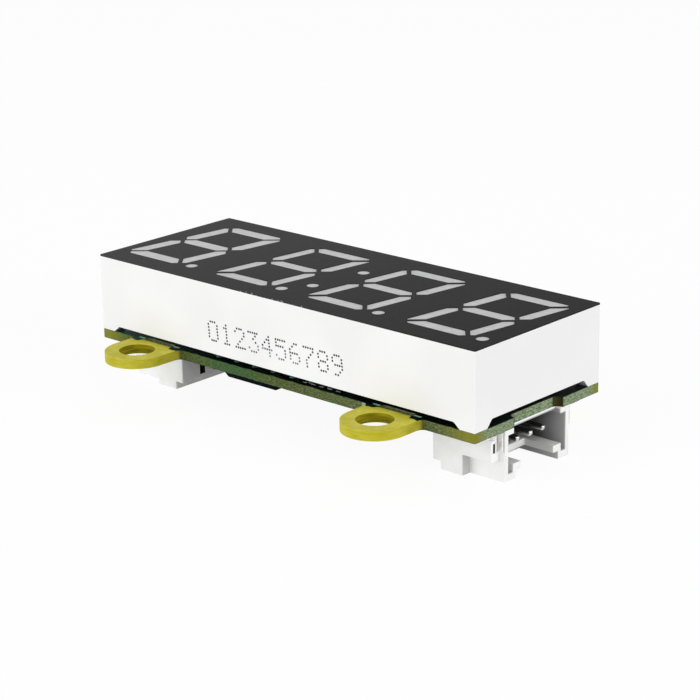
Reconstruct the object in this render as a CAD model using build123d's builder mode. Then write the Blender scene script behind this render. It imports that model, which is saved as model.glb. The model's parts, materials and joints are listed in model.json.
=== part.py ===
from build123d import *
import math
import os

# Four-digit seven-segment display module: a moulded display on a small driver board, with a plug
# header at each end of the board's underside and four drilled lugs for screws.
# Millimetres. X runs along the digits in reading direction, Y up the digits, Z out of the face.
# Z = 0 is the plane of the two headers' undersides, on which the module rests.

# Display housing: one cell for each digit, less a trim shared by the two ends
digit_count = 4
digit_pitch = 12.7
end_trim = 0.5
display_length = digit_count * digit_pitch - end_trim
display_width = 19.0
display_height = 8.0
face_film_thickness = 0.15
wall_thickness = 1.0
housing_corner_radius = 0.18
foot_length = 1.8
foot_flank_run = 0.7
foot_flank_radius = 0.35
long_wall_gap = 0.6
end_wall_gap = 0.8
reflector_depth = 4.9
reflector_draft = 4.5

# Digits and dots
digit_width = 8.2
digit_height = 14.0
slant_angle = 8.0
bar_width = 1.42
bar_height = 1.55
bar_gap = 0.42
digit_corner_cut = 1.0
dot_diameter = 1.25
decimal_point_gap = 0.6
colon_x = 0.3
colon_y = -0.45
colon_spacing = 6.5

# Inner light board and its resin
light_board_thickness = 1.0
light_board_clearance = 0.15
potting_thickness = 0.9
die_size = 0.32
die_height = 0.16

# Display pins
pin_count = 6
pin_pitch = 2.54
pin_row_inset = 1.88
pin_width = 0.5
pin_thickness = 0.25
pin_protrusion = 0.8
pin_hole_diameter = 0.9
joint_diameter = 1.7
joint_top_diameter = 0.75
joint_height = 0.6

# Driver board with its lugs
board_thickness = 1.0
board_corner_radius = 0.2
lug_radius = 3.3
lug_hole_diameter = 3.7
lug_inset_left = 8.25
lug_inset_right = 9.65
lug_reach = 2.8
lug_root_radius = 0.6
lug_neck_width = 1.2
lug_slot_width = 0.75
notch_width = 7.4
notch_depth = 0.8
notch_corner_radius = 0.7

# Plug headers
header_height = 5.2
header_depth = 7.9
header_inset = 0.15
shroud_half_width = 4.87
shroud_wall = 0.47
shroud_floor = 0.7
band_half_width = 5.95
band_height = 3.1
band_setback = 0.73
rear_block_front = 4.2
rear_block_rear = 6.93
rear_block_lift = 0.85
cavity_depth = 6.0
ceiling_middle = 0.32
ceiling_corner = 0.62
ceiling_corner_width = 1.3
window_half_width = 3.27
window_depth = 4.7
rail_web = 0.4
rail_lip_reach = 0.78
rail_lip_thickness = 0.7
rail_height = 0.85
header_edge_radius = 0.15

# Header contacts and anchor tabs
contact_count = 4
contact_pitch = 2.0
contact_size = 0.5
contact_drop = 2.27
contact_tip_setback = 1.45
contact_tip_radius = 0.2
contact_bend_radius = 0.45
contact_tail_length = 1.5
channel_width = 0.8
channel_depth = 1.0
channel_run_out = 1.5
anchor_gap = 0.12
anchor_width = 0.5
anchor_thickness = 0.2
anchor_blade_height = 2.2
anchor_foot_length = 1.3
anchor_slot_offset = 0.56
anchor_slot_width = 0.31
anchor_slot_drop = 1.3
anchor_slot_height = 0.95
anchor_slot_depth = 1.5
anchor_notch_width = 0.5
anchor_notch_depth = 0.57
anchor_notch_height = 0.95

# Driver chip and the small parts beside it
chip_inset = 17.1
chip_length = 10.3
chip_width = 7.5
chip_body_height = 2.35
chip_standoff = 0.25
chip_draft = 7.0
chip_bevel = 0.45
chip_dimple_diameter = 1.2
chip_dimple_depth = 0.12
lead_count = 8
lead_pitch = 1.27
lead_reach = 1.4
lead_width = 0.42
lead_thickness = 0.22
lead_foot_length = 0.8
lead_bend_radius = 0.3
small_part_length = 1.6
small_part_width = 0.8
capacitor_height = 0.8
resistor_height = 0.45
terminal_length = 0.3
small_part_setback = 11.25
small_part_pitch = 1.9
capacitor_count = 3
resistor_count = 2

# Levels that follow from the sizes above
board_bottom = header_height
board_top = board_bottom + board_thickness
film_top = board_top + display_height
face_level = film_top - face_film_thickness
light_board_top = face_level - reflector_depth
light_board_bottom = light_board_top - light_board_thickness
potting_bottom = light_board_bottom - potting_thickness
recess_length = display_length - 2 * wall_thickness
recess_width = display_width - 2 * wall_thickness
slope = math.tan(math.radians(slant_angle))

digit_centres = [(n - (digit_count - 1) / 2) * digit_pitch for n in range(digit_count)]
pin_row_y = display_width / 2 - pin_row_inset
pin_xs = [(n - (pin_count - 1) / 2) * pin_pitch for n in range(pin_count)]
pin_spots = [(x, side * pin_row_y) for side in (-1, 1) for x in pin_xs]
lug_xs = [lug_inset_left - display_length / 2, display_length / 2 - lug_inset_right]
lug_y = display_width / 2 + lug_reach
lug_spots = [(x, side * lug_y) for x in lug_xs for side in (-1, 1)]
contact_ys = [(n - (contact_count - 1) / 2) * contact_pitch for n in range(contact_count)]
decimal_point_y = (dot_diameter - digit_height) / 2
decimal_point_x = (digit_width + dot_diameter) / 2 + decimal_point_y * slope + decimal_point_gap
decimal_spots = [(x + decimal_point_x, decimal_point_y) for x in digit_centres]
colon_ys = [colon_y + side * colon_spacing / 2 for side in (-1, 1)]
colon_spots = [(colon_x + y * slope, y) for y in colon_ys]


def bar_outlines():
    """The seven bars of an upright digit, each as its six corners."""
    half_w = digit_width / 2
    half_h = digit_height / 2
    inner_x = half_w - bar_width
    inner_y = half_h - bar_height
    half_gap = bar_gap / math.sqrt(2)
    tip_rise = (bar_height - bar_width + digit_corner_cut - half_gap) / 2
    # Top bar: long outer edge, cut corner, then the mitre back to its inner edge.
    top = [
        (half_w - digit_corner_cut, half_h),
        (half_w - digit_corner_cut + tip_rise, half_h - tip_rise),
        (inner_x - half_gap, inner_y),
    ]
    top = top + [(-x, y) for x, y in reversed(top)]
    # Middle bar: a long hexagon with its points on the centre line.
    middle_tip = inner_x + bar_height / 2 - half_gap
    middle_shoulder = inner_x - half_gap
    middle = [
        (middle_shoulder, bar_height / 2),
        (middle_tip, 0),
        (middle_shoulder, -bar_height / 2),
    ]
    middle = middle + [(-x, y) for x, y in reversed(middle)]
    # Upper right bar: mitred to the top bar, pointed towards the middle bar.
    side_tip_fall = (bar_width - bar_height + digit_corner_cut - half_gap) / 2
    lower_tip = bar_height / 2 + half_gap - bar_width / 2
    side = [
        (half_w, half_h - digit_corner_cut),
        (half_w - side_tip_fall, half_h - digit_corner_cut + side_tip_fall),
        (inner_x, inner_y - half_gap),
        (inner_x, bar_height / 2 + half_gap),
        (half_w - bar_width / 2, lower_tip),
        (half_w, lower_tip + bar_width / 2),
    ]
    return [
        top,
        side,
        [(x, -y) for x, y in side],
        [(x, -y) for x, y in top],
        [(-x, -y) for x, y in side],
        [(-x, y) for x, y in side],
        middle,
    ]


def lean(points):
    """Slants the points of an upright digit to the right."""
    return [(x + y * slope, y) for x, y in points]


def bar_centre(points):
    leaned = lean(points)
    return (sum(x for x, y in leaned) / len(leaned), sum(y for x, y in leaned) / len(leaned))


bars = bar_outlines()
die_spots = [bar_centre(points) for points in bars]


def digit_windows(level, centre_x):
    """Sketch of one digit's seven windows at a height."""
    with BuildSketch(Plane.XY.offset(level)) as windows:
        for points in bars:
            with BuildLine():
                Polyline([(centre_x + x, y) for x, y in lean(points)], close=True)
            make_face()
    return windows.sketch


def dot_windows(level, spots):
    with BuildSketch(Plane.XY.offset(level)) as windows:
        with Locations(*spots):
            Circle(dot_diameter / 2)
    return windows.sketch


def light_wells(windows):
    """Drafted wells that narrow from the windows down to the light board."""
    with BuildPart() as wells:
        extrude(windows, amount=-reflector_depth, taper=reflector_draft)
    return wells.part


def die_blocks(spots):
    with BuildPart() as blocks:
        with BuildSketch(Plane.XY.offset(light_board_top)):
            with Locations(*spots):
                Rectangle(die_size, die_size)
        extrude(amount=die_height)
    return blocks.part


def pin_slots(level, amount):
    """Square holes that the display pins fill, through a layer of the display."""
    with BuildPart() as slots:
        with BuildSketch(Plane.XY.offset(level)):
            with Locations(*pin_spots):
                Rectangle(pin_width, pin_thickness)
        extrude(amount=amount)
    return slots.part


digit_wells = [light_wells(digit_windows(face_level, x)) for x in digit_centres]
decimal_wells = light_wells(dot_windows(face_level, decimal_spots))
colon_wells = light_wells(dot_windows(face_level, colon_spots))

# Housing: one white moulding with a light well under every window, open at the back, standing on
# four corner feet, with its walls cut back between them.
with BuildPart() as reflector_housing:
    with BuildSketch(Plane.XY.offset(board_top)):
        Rectangle(display_length, display_width)
    extrude(amount=display_height - face_film_thickness)
    fillet(reflector_housing.edges().filter_by(Axis.Z), housing_corner_radius)
    with BuildSketch(Plane.XY.offset(board_top)):
        Rectangle(recess_length, recess_width)
    extrude(amount=light_board_top - board_top, mode=Mode.SUBTRACT)
    for span, depth, gap, plane in (
        (display_length, display_width, long_wall_gap, Plane.XZ),
        (display_width, display_length, end_wall_gap, Plane.YZ),
    ):
        half_gap_length = span / 2 - foot_length
        with BuildSketch(plane) as foot_gap:
            with BuildLine():
                Polyline(
                    (-half_gap_length, board_top),
                    (half_gap_length, board_top),
                    (half_gap_length - foot_flank_run, board_top + gap),
                    (-half_gap_length + foot_flank_run, board_top + gap),
                    close=True,
                )
            make_face()
            fillet(foot_gap.vertices().group_by(Axis.Y)[-1], foot_flank_radius)
        extrude(amount=depth / 2, both=True, mode=Mode.SUBTRACT)
    for wells in digit_wells:
        add(wells, mode=Mode.SUBTRACT)
    add(decimal_wells, mode=Mode.SUBTRACT)
    add(colon_wells, mode=Mode.SUBTRACT)

# Face film: the thin dark sheet on the face, with a window over each well.
with BuildPart() as face_film:
    with BuildSketch(Plane.XY.offset(face_level)) as film_outline:
        RectangleRounded(display_length, display_width, housing_corner_radius)
        for centre_x in digit_centres:
            add(digit_windows(0, centre_x), mode=Mode.SUBTRACT)
        add(dot_windows(0, decimal_spots), mode=Mode.SUBTRACT)
        add(dot_windows(0, colon_spots), mode=Mode.SUBTRACT)
    extrude(amount=face_film_thickness)

# Digits: clear-grey resin bars that fill the wells and close over the light dies.
digit_parts = []
for centre_x, wells in zip(digit_centres, digit_wells):
    spots = [(centre_x + x, y) for x, y in die_spots]
    with BuildPart() as digit_segments:
        add(wells)
        add(die_blocks(spots), mode=Mode.SUBTRACT)
    digit_parts.append(digit_segments)

with BuildPart() as decimal_points:
    add(decimal_wells)
    add(die_blocks(decimal_spots), mode=Mode.SUBTRACT)

with BuildPart() as colon_dots:
    add(colon_wells)
    add(die_blocks(colon_spots), mode=Mode.SUBTRACT)

# Light dies: one under each bar and dot.
with BuildPart() as light_dies:
    for centre_x in digit_centres:
        add(die_blocks([(centre_x + x, y) for x, y in die_spots]))
    add(die_blocks(decimal_spots))
    add(die_blocks(colon_spots))

# Light board: the inner board that carries the dies and the display pins.
with BuildPart() as light_board:
    with BuildSketch(Plane.XY.offset(light_board_bottom)):
        Rectangle(recess_length - 2 * light_board_clearance, recess_width - 2 * light_board_clearance)
    extrude(amount=light_board_thickness)
    add(pin_slots(light_board_bottom, light_board_thickness), mode=Mode.SUBTRACT)

# Potting: the poured resin that seals the back of the housing.
with BuildPart() as potting_resin:
    with BuildSketch(Plane.XY.offset(potting_bottom)):
        Rectangle(recess_length, recess_width)
    extrude(amount=potting_thickness)
    add(pin_slots(potting_bottom, potting_thickness), mode=Mode.SUBTRACT)

# Display pins: two rows of flat pins from the light board down through the driver board.
pin_bottom = board_bottom - pin_protrusion
pin_parts = []
for side in (-1, 1):
    with BuildPart() as display_pins:
        with BuildSketch(Plane.XY.offset(pin_bottom)):
            with Locations(*[(x, side * pin_row_y) for x in pin_xs]):
                Rectangle(pin_width, pin_thickness)
        extrude(amount=light_board_top - pin_bottom)
    pin_parts.append(display_pins)

# Solder joints: solder that fills each pin hole and stands as a cone under the driver board.
with BuildPart() as solder_joints:
    with BuildSketch(Plane.XY.offset(board_bottom)):
        with Locations(*pin_spots):
            Circle(pin_hole_diameter / 2)
    extrude(amount=board_thickness)
    with Locations(*[(x, y, board_bottom) for x, y in pin_spots]):
        Cone(
            joint_top_diameter / 2,
            joint_diameter / 2,
            joint_height,
            align=(Align.CENTER, Align.CENTER, Align.MAX),
        )
    add(pin_slots(pin_bottom, board_top - pin_bottom), mode=Mode.SUBTRACT)


def is_lug_root(vertex):
    on_edge = abs(abs(vertex.Y) - display_width / 2) < 0.01
    at_side = min(abs(abs(vertex.X - x) - lug_radius) for x in lug_xs) < 0.01
    return on_edge and at_side


def is_notch_corner(vertex):
    return abs(abs(vertex.X) - (display_length / 2 - notch_depth)) < 0.01 and abs(
        abs(vertex.Y) - notch_width / 2
    ) < 0.01


# Driver board: same outline as the display, with four round-ended lugs, a slot milled behind each
# lug and a shallow notch over each header's mouth.
with BuildPart() as driver_board:
    with BuildSketch(Plane.XY.offset(board_bottom)) as board_outline:
        Rectangle(display_length, display_width)
        fillet(board_outline.vertices(), board_corner_radius)
        with Locations(*lug_spots):
            Circle(lug_radius)
        for x, y in lug_spots:
            with Locations((x, y / 2)):
                Rectangle(2 * lug_radius, abs(y))
        fillet(board_outline.vertices().filter_by(is_lug_root), lug_root_radius)
        with Locations(*[(side * display_length / 2, 0) for side in (-1, 1)]):
            Rectangle(2 * notch_depth, notch_width, mode=Mode.SUBTRACT)
        fillet(board_outline.vertices().filter_by(is_notch_corner), notch_corner_radius)
        with Locations(*lug_spots):
            Circle(lug_hole_diameter / 2, mode=Mode.SUBTRACT)
        slot_y = (display_width - lug_slot_width) / 2
        slot_length = 2 * (lug_radius - lug_neck_width)
        with Locations(*[(x, side * slot_y) for x in lug_xs for side in (-1, 1)]):
            SlotOverall(slot_length, lug_slot_width, mode=Mode.SUBTRACT)
        with Locations(*pin_spots):
            Circle(pin_hole_diameter / 2, mode=Mode.SUBTRACT)
    extrude(amount=board_thickness)

# Headers. Distances along X are measured back from the mouth; the right-hand set is modelled and
# the left-hand set is its mirror image.
mouth_x = display_length / 2 - header_inset
rear_x = mouth_x - header_depth
contact_level = board_bottom - contact_drop
cavity_half_width = shroud_half_width - shroud_wall
ceiling_half_width = shroud_half_width - ceiling_corner_width
ceiling_front = display_length / 2 - notch_depth
band_front = mouth_x - band_setback
rail_outer = window_half_width + rail_web


def block(x_from, x_to, half_width, z_from, z_to, mode=Mode.ADD):
    """A block across the header, centred on its middle plane."""
    with BuildSketch(Plane.XY.offset(z_from)) as profile:
        with Locations(((x_from + x_to) / 2, 0)):
            Rectangle(x_to - x_from, 2 * half_width)
    extrude(profile.sketch, amount=z_to - z_from, mode=mode)


with BuildPart() as right_header:
    # Outer form: the board-side band, the rear block down to the floor and the narrower shroud.
    block(rear_x, band_front, band_half_width, board_bottom - band_height, board_bottom)
    block(rear_x, mouth_x - rear_block_front, band_half_width, rear_block_lift, board_bottom)
    block(mouth_x - rear_block_rear, mouth_x - rear_block_front, band_half_width, 0, board_bottom)
    block(mouth_x - rear_block_rear, mouth_x, shroud_half_width, 0, board_bottom)
    outer_edges = right_header.edges().filter_by(Axis.Z).filter_by(
        lambda edge: abs(abs(edge.center().Y) - band_half_width) < 0.01
    )
    fillet(outer_edges, header_edge_radius)
    # Plug cavity. Its ceiling is thinner in the middle than at its corners, and ends there in line
    # with the board's notch.
    block(mouth_x - cavity_depth, mouth_x, cavity_half_width, shroud_floor, board_bottom - ceiling_corner,
          Mode.SUBTRACT)
    block(mouth_x - cavity_depth, mouth_x, ceiling_half_width, shroud_floor, board_bottom - ceiling_middle,
          Mode.SUBTRACT)
    block(ceiling_front, mouth_x, ceiling_half_width, board_bottom - ceiling_corner, board_bottom,
          Mode.SUBTRACT)
    # Open window in the floor.
    block(mouth_x - window_depth, mouth_x, window_half_width, 0, shroud_floor, Mode.SUBTRACT)
    # Guide rails: a web beside the window with a lip towards the middle, along each side.
    with BuildSketch(Plane.YZ.offset(mouth_x - window_depth)):
        for side in (-1, 1):
            with BuildLine():
                Polyline(
                    (side * rail_outer, 0),
                    (side * rail_outer, shroud_floor + rail_height),
                    (side * (window_half_width - rail_lip_reach), shroud_floor + rail_height),
                    (side * (window_half_width - rail_lip_reach),
                     shroud_floor + rail_height - rail_lip_thickness),
                    (side * window_half_width, shroud_floor + rail_height - rail_lip_thickness),
                    (side * window_half_width, 0),
                    close=True,
                )
            make_face()
    extrude(amount=window_depth)
    # Rear channels for the contact legs, and the holes that the contacts are pressed through.
    channel_height = contact_drop + contact_size / 2 + channel_run_out
    with BuildSketch(Plane.XY.offset(board_bottom - channel_height)):
        with Locations(*[(rear_x + channel_depth / 2, y) for y in contact_ys]):
            Rectangle(channel_depth, channel_width)
    extrude(amount=channel_height, mode=Mode.SUBTRACT)
    with BuildSketch(Plane.YZ.offset(rear_x)):
        with Locations(*[(y, contact_level) for y in contact_ys]):
            Rectangle(contact_size, contact_size)
    extrude(amount=header_depth - contact_tip_setback, mode=Mode.SUBTRACT)
    # Band front: a slot beside the shroud on each side, and a notch in each corner for the tab's foot.
    slot_middle_y = shroud_half_width + anchor_slot_offset + anchor_slot_width / 2
    slot_middle_z = board_bottom - anchor_slot_drop - anchor_slot_height / 2
    notch_middle_y = band_half_width - anchor_notch_width / 2
    notch_middle_z = board_bottom - anchor_notch_height / 2
    with BuildSketch(Plane.YZ.offset(band_front)):
        with Locations(*[(side * slot_middle_y, slot_middle_z) for side in (-1, 1)]):
            Rectangle(anchor_slot_width, anchor_slot_height)
    extrude(amount=-anchor_slot_depth, mode=Mode.SUBTRACT)
    with BuildSketch(Plane.YZ.offset(band_front)):
        with Locations(*[(side * notch_middle_y, notch_middle_z) for side in (-1, 1)]):
            Rectangle(anchor_notch_width, anchor_notch_height)
    extrude(amount=-anchor_notch_depth, mode=Mode.SUBTRACT)

# Contacts: square posts that cross the rear wall, turn up to the board and end in flat tails.
leg_x = rear_x + channel_depth - contact_bend_radius
tail_level = board_bottom - contact_size / 2
tail_end_x = rear_x - contact_tail_length
with BuildPart() as right_contacts:
    for y in contact_ys:
        with BuildLine():
            FilletPolyline(
                (mouth_x - contact_tip_setback, y, contact_level),
                (leg_x, y, contact_level),
                (leg_x, y, tail_level),
                (tail_end_x, y, tail_level),
                radius=contact_bend_radius,
            )
        with BuildSketch(Plane.YZ.offset(mouth_x - contact_tip_setback)):
            with Locations((y, contact_level)):
                Rectangle(contact_size, contact_size)
        sweep()
    tip_edges = right_contacts.faces().filter_by(Axis.X).group_by(Axis.X)[-1].edges()
    fillet(tip_edges, contact_tip_radius)

# Anchor tabs: bent strips beside the mouth, each with a foot on the board.
anchor_x = band_front + anchor_gap + anchor_width / 2
blade_y = shroud_half_width + anchor_gap
foot_y = blade_y + anchor_foot_length
with BuildPart() as right_anchor_tabs:
    with BuildSketch(Plane.YZ.offset(anchor_x - anchor_width / 2)):
        for side in (-1, 1):
            with BuildLine():
                Polyline(
                    (side * blade_y, board_bottom),
                    (side * foot_y, board_bottom),
                    (side * foot_y, board_bottom - anchor_thickness),
                    (side * (blade_y + anchor_thickness), board_bottom - anchor_thickness),
                    (side * (blade_y + anchor_thickness), board_bottom - anchor_blade_height),
                    (side * blade_y, board_bottom - anchor_blade_height),
                    close=True,
                )
            make_face()
    extrude(amount=anchor_width)
    blade_tips = right_anchor_tabs.edges().filter_by(Axis.Y).group_by(Axis.Z)[0]
    fillet(blade_tips, anchor_width * 0.4)


def mirrored(source):
    with BuildPart() as copy:
        mirror(source.part, about=Plane.YZ)
    return copy


left_header = mirrored(right_header)
left_contacts = mirrored(right_contacts)
left_anchor_tabs = mirrored(right_anchor_tabs)

# Driver chip: a wide moulded package under the board, with a bevel along its first-pin side.
chip_x = chip_inset - display_length / 2
chip_top = board_bottom - chip_standoff
chip_bottom = chip_top - chip_body_height
lead_level = (chip_top + chip_bottom) / 2
with BuildPart() as driver_chip:
    with BuildSketch(Plane.XY.offset(lead_level)):
        with Locations((chip_x, 0)):
            Rectangle(chip_width, chip_length)
    extrude(amount=chip_body_height / 2, taper=chip_draft)
    with BuildSketch(Plane.XY.offset(lead_level)):
        with Locations((chip_x, 0)):
            Rectangle(chip_width, chip_length)
    extrude(amount=-chip_body_height / 2, taper=chip_draft)
    underside = driver_chip.faces().sort_by(Axis.Z)[0]
    chamfer(underside.edges().filter_by(Axis.Y).sort_by(Axis.X)[0], chip_bevel)
    dimple_x = chip_x - chip_width / 2 + chip_bevel + chip_dimple_diameter
    dimple_y = chip_length / 2 - chip_dimple_diameter
    with BuildSketch(Plane.XY.offset(chip_bottom)):
        with Locations((dimple_x, dimple_y)):
            Circle(chip_dimple_diameter / 2)
    extrude(amount=chip_dimple_depth, mode=Mode.SUBTRACT)

# Chip leads: gull-wing leads from the package's parting line down to the board.
lead_ys = [(n - (lead_count - 1) / 2) * lead_pitch for n in range(lead_count)]
lead_foot_level = board_bottom - lead_thickness / 2
lead_end = chip_width / 2 + lead_reach
lead_knee = lead_end - lead_foot_length
with BuildPart() as driver_chip_leads:
    for side in (-1, 1):
        for y in lead_ys:
            with BuildLine():
                FilletPolyline(
                    (chip_x + side * chip_width / 2, y, lead_level),
                    (chip_x + side * lead_knee, y, lead_level),
                    (chip_x + side * lead_knee, y, lead_foot_level),
                    (chip_x + side * lead_end, y, lead_foot_level),
                    radius=lead_bend_radius,
                )
            with BuildSketch(Plane.YZ.offset(chip_x + side * chip_width / 2)):
                with Locations((y, lead_level)):
                    Rectangle(lead_width, lead_thickness)
            sweep()

# Small parts beside the chip: capacitors and resistors with wrap-round end terminals.
small_part_x = chip_x + small_part_setback
small_part_count = capacitor_count + resistor_count
small_part_ys = [(n - (small_part_count - 1) / 2) * small_part_pitch for n in range(small_part_count)]
capacitor_spots = [(small_part_x, y) for y in small_part_ys[:capacitor_count]]
resistor_spots = [(small_part_x, y) for y in small_part_ys[capacitor_count:]]


def small_blocks(spots, length, height):
    with BuildSketch(Plane.XY.offset(board_bottom)) as profile:
        with Locations(*spots):
            Rectangle(length, small_part_width)
    extrude(profile.sketch, amount=-height)


with BuildPart() as capacitor_bodies:
    small_blocks(capacitor_spots, small_part_length - 2 * terminal_length, capacitor_height)

with BuildPart() as resistor_bodies:
    small_blocks(resistor_spots, small_part_length - 2 * terminal_length, resistor_height)

with BuildPart() as end_terminals:
    terminal_shift = (small_part_length - terminal_length) / 2
    for spots, height in ((capacitor_spots, capacitor_height), (resistor_spots, resistor_height)):
        ends = [(x + side * terminal_shift, y) for x, y in spots for side in (-1, 1)]
        small_blocks(ends, terminal_length, height)

named_parts = {
    "reflector_housing": reflector_housing,
    "face_film": face_film,
    "digit_1_segments": digit_parts[0],
    "digit_2_segments": digit_parts[1],
    "digit_3_segments": digit_parts[2],
    "digit_4_segments": digit_parts[3],
    "decimal_points": decimal_points,
    "colon_dots": colon_dots,
    "light_dies": light_dies,
    "light_board": light_board,
    "potting_resin": potting_resin,
    "front_display_pins": pin_parts[0],
    "rear_display_pins": pin_parts[1],
    "solder_joints": solder_joints,
    "driver_board": driver_board,
    "right_header": right_header,
    "left_header": left_header,
    "right_contacts": right_contacts,
    "left_contacts": left_contacts,
    "right_anchor_tabs": right_anchor_tabs,
    "left_anchor_tabs": left_anchor_tabs,
    "driver_chip": driver_chip,
    "driver_chip_leads": driver_chip_leads,
    "capacitor_bodies": capacitor_bodies,
    "resistor_bodies": resistor_bodies,
    "end_terminals": end_terminals,
}

os.makedirs("parts", exist_ok=True)
for name, piece in named_parts.items():
    piece.part.label = name
    export_step(piece.part, f"parts/{name}.step")
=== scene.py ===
import bpy
import json
import math
import random
from mathutils import Matrix, Vector

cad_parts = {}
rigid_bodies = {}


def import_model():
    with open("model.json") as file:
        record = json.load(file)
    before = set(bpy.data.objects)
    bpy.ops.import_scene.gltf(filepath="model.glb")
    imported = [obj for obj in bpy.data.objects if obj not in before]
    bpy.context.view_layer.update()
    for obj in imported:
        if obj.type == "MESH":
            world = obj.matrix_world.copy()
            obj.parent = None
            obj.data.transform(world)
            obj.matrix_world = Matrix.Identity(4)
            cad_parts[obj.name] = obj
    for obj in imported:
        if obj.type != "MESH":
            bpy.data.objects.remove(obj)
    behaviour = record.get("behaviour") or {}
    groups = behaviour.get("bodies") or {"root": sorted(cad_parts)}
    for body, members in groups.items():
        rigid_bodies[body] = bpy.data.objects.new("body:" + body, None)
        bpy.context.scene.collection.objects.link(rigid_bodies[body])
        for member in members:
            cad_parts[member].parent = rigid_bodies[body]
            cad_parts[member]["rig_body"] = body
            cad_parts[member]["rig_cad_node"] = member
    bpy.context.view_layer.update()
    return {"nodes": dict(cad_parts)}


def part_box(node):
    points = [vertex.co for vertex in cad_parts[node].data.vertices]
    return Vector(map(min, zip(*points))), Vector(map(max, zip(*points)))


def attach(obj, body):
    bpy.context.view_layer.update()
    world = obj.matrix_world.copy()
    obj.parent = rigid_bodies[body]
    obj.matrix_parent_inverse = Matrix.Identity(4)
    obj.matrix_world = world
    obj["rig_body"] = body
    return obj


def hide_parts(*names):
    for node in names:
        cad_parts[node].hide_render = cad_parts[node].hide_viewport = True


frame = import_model()
nodes = frame["nodes"]
mm = 0.001
print("frame loaded:", len(nodes), "CAD nodes")

# places read from the frame, in metres
boardLow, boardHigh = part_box("driver_board")
housingLow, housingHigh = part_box("reflector_housing")
filmLow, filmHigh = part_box("face_film")
headerLow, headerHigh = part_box("right_header")
chipLow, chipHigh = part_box("driver_chip")
leadLow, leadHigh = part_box("driver_chip_leads")
pinLow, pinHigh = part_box("rear_display_pins")
tailLow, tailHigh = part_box("right_contacts")
anchorLow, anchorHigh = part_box("right_anchor_tabs")
terminalLow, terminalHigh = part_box("end_terminals")
boardTop = boardHigh.z
boardBottom = boardLow.z


def spread(low, high, widthMm, count):
    # the centres of count equal things of one width that fill low to high
    step = (high - low - widthMm * mm) / (count - 1)
    return [low + widthMm * mm / 2 + number * step for number in range(count)]


pinXs = spread(pinLow.x, pinHigh.x, 0.5, 6)
pinY = (pinLow.y + pinHigh.y) / 2
leadYs = spread(leadLow.y, leadHigh.y, 0.42, 8)
tailYs = spread(tailLow.y, tailHigh.y, 0.5, 4)
smallPartYs = spread(terminalLow.y, terminalHigh.y, 0.8, 5)

lugCentres = {"xs": (-16.9 * mm, 15.5 * mm), "y": boardHigh.y - 3.3 * mm}      # the four drilled lugs


# Colour and node helpers.

def linear(hexCode):
    # an sRGB hex colour as the linear colour that the shaders expect
    values = []
    for start in (1, 3, 5):
        value = int(hexCode[start:start + 2], 16) / 255
        values.append(value / 12.92 if value <= 0.04045 else ((value + 0.055) / 1.055) ** 2.4)
    return (*values, 1)


def liveSocket(sockets, key):
    # a socket by its number, or by its name among those that the node's mode shows
    if isinstance(key, int):
        return sockets[key]
    return next(socket for socket in sockets if socket.name == key and socket.enabled)


def addNode(tree, kind, values=None):
    # adds a node: each value sets a property or a socket, and a node or a socket given as a value is linked
    made = tree.nodes.new("ShaderNode" + kind)
    for key, value in (values or {}).items():
        if isinstance(key, str) and hasattr(made, key):
            setattr(made, key, value)
            continue
        socket = liveSocket(made.inputs, key)
        if isinstance(value, bpy.types.Node):
            value = next(output for output in value.outputs if output.enabled)
        if isinstance(value, bpy.types.NodeSocket):
            tree.links.new(value, socket)
        else:
            socket.default_value = linear(value) if isinstance(value, str) else value
    return made


def together(tree, *parts):
    # the product of several shares, where a test such as (height, "LESS_THAN", limit) is a share of 1 or 0
    share = None
    for part in parts:
        if isinstance(part, tuple):
            source, operation, *limits = part
            part = addNode(tree, "Math", {"operation": operation, 0: source, **dict(enumerate(limits, 1))})
        share = addNode(tree, "Math", {"operation": "MULTIPLY", 0: share, 1: part}) if share else part
    return share


def between(source, low, high):
    # the two tests of a range
    return (source, "GREATER_THAN", low), (source, "LESS_THAN", high)


def overlaid(tree, colour, *layers):
    # a colour with other colours laid over it in turn, each by its share
    for share, tone in layers:
        colour = addNode(tree, "Mix", {"data_type": "RGBA", "Factor": share, "A": colour, "B": tone})
    return colour


def clouded(tree, place, sizeMm, dark, light, detail=3.0):
    # a colour that drifts between two hex colours in clouds of about sizeMm
    noise = addNode(tree, "TexNoise", {"Scale": 1 / (sizeMm * mm), "Detail": detail, "Vector": place})
    share = addNode(tree, "MapRange", {"interpolation_type": "SMOOTHSTEP", "From Min": 0.35, "From Max": 0.68,
                                       "Value": noise})
    return overlaid(tree, dark, (share, light))


def metres(lengthsMm):
    return [length * mm for length in lengthsMm]


def apart(tree, source, middle):
    # how far a value is from a middle
    offset = addNode(tree, "Math", {"operation": "SUBTRACT", 0: source, 1: middle})
    return addNode(tree, "Math", {"operation": "ABSOLUTE", 0: offset})


def axesOf(tree, place):
    # a point's x, y and z, and its distances from the middle along x and y
    x, y, z = addNode(tree, "SeparateXYZ", {"Vector": place}).outputs
    along, across = (addNode(tree, "Math", {"operation": "ABSOLUTE", 0: axis}) for axis in (x, y))
    return x, y, z, along, across


def plainPaint(tree, place, look):
    # one colour with a slight drift
    detail = look.get("cloudDetail", 3.0)
    return {"Base Color": clouded(tree, place, look["cloudMm"], look["dark"], look["light"], detail)}


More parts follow.
